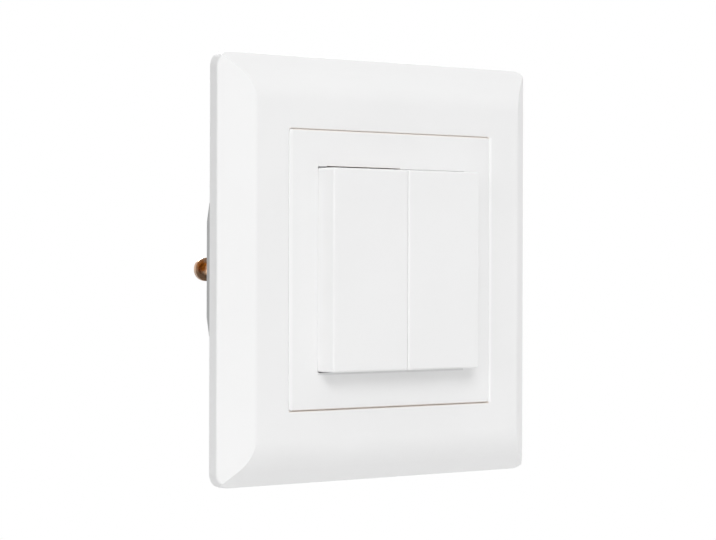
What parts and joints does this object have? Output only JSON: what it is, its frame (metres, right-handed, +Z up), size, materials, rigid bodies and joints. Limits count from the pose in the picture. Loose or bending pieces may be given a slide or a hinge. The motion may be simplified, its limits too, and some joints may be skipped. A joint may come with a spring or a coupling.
{
  "type": "pushbutton switch",
  "caption": "Flush wall push-button switch: twin spring-return keys in a bezel and bevelled square frame, with support plate, claws and contact housing behind.",
  "frame": {"origin": "centre of the switch on the wall surface, which is the back face of the support plate", "axes": "+X to the right seen from the room, +Y into the wall, +Z up"},
  "size_m": [0.082, 0.033, 0.082],
  "materials": {
    "white_plastic": "satin moulded plastic",
    "grey_plastic": "matt moulded plastic",
    "dark_plastic": "matt moulded plastic",
    "zinc_plate": "zinc plated",
    "spring_steel": "bright drawn",
    "brass": "rolled strip",
    "silver_contact": "polished",
    "copper_chromate": "coppery passivated steel"
  },
  "bodies": {
    "base": {"cover_frame": "white_plastic", "bezel": "white_plastic", "hinge_pin": "spring_steel", "mechanism_cover": "grey_plastic", "support_plate": "zinc_plate", "housing": "grey_plastic", "housing_screws": "zinc_plate", "common_terminal": "brass", "left_terminal": "brass", "right_terminal": "brass", "clamp_springs": "spring_steel", "fixed_contacts": "silver_contact", "claw_pins": "spring_steel", "left_return_spring": "spring_steel", "right_return_spring": "spring_steel"},
    "left_key": {"left_button": "white_plastic"},
    "right_key": {"right_button": "white_plastic"},
    "left_contact_slider": {"left_plunger": "dark_plastic", "left_contact_bridge": "brass", "left_bridge_contacts": "silver_contact"},
    "right_contact_slider": {"right_plunger": "dark_plastic", "right_contact_bridge": "brass", "right_bridge_contacts": "silver_contact"},
    "left_clamp_screw": {"left_claw_screw": "zinc_plate"},
    "right_clamp_screw": {"right_claw_screw": "zinc_plate"},
    "left_spreader": {"left_claw": "copper_chromate"},
    "right_spreader": {"right_claw": "copper_chromate"}
  },
  "joints": [
    {"name": "left_key_press", "type": "hinge", "parent": "base", "child": "left_key", "pos_m": [0, -0.007, 0.0154], "axis": [1, 0, 0], "range_deg": [0, 4.5], "stiffness_Nm_per_rad": 0.4, "springref_deg": -6.88},
    {"name": "left_plunger_slide", "type": "slide", "parent": "base", "child": "left_contact_slider", "axis": [0, 1, 0], "range_m": [0, 0.0022], "deforming": ["left_return_spring"]},
    {"name": "left_screw_turn", "type": "hinge", "parent": "base", "child": "left_clamp_screw", "pos_m": [-0.0252, 0, 0], "axis": [0, 1, 0], "range_deg": [0, 690]},
    {"name": "left_claw_swing", "type": "hinge", "parent": "base", "child": "left_spreader", "pos_m": [-0.0206, 0.0045, 0], "axis": [0, 0, 1], "range_deg": [0, 12]},
    {"name": "right_key_press", "type": "hinge", "parent": "base", "child": "right_key", "pos_m": [0, -0.007, 0.0154], "axis": [1, 0, 0], "range_deg": [0, 4.5], "stiffness_Nm_per_rad": 0.4, "springref_deg": -6.88},
    {"name": "right_plunger_slide", "type": "slide", "parent": "base", "child": "right_contact_slider", "axis": [0, 1, 0], "range_m": [0, 0.0022], "deforming": ["right_return_spring"]},
    {"name": "right_screw_turn", "type": "hinge", "parent": "base", "child": "right_clamp_screw", "pos_m": [0.0252, 0, 0], "axis": [0, 1, 0], "range_deg": [0, 690]},
    {"name": "right_claw_swing", "type": "hinge", "parent": "base", "child": "right_spreader", "pos_m": [0.0206, 0.0045, 0], "axis": [0, 0, -1], "range_deg": [0, 12]}
  ],
  "couplings": [
    {"joint": "left_plunger_slide", "follows": "left_key_press", "m_per_rad": 0.0274},
    {"joint": "left_claw_swing", "follows": "left_screw_turn", "ratio": 0.017299},
    {"joint": "right_plunger_slide", "follows": "right_key_press", "m_per_rad": 0.0274},
    {"joint": "right_claw_swing", "follows": "right_screw_turn", "ratio": 0.017299}
  ]
}
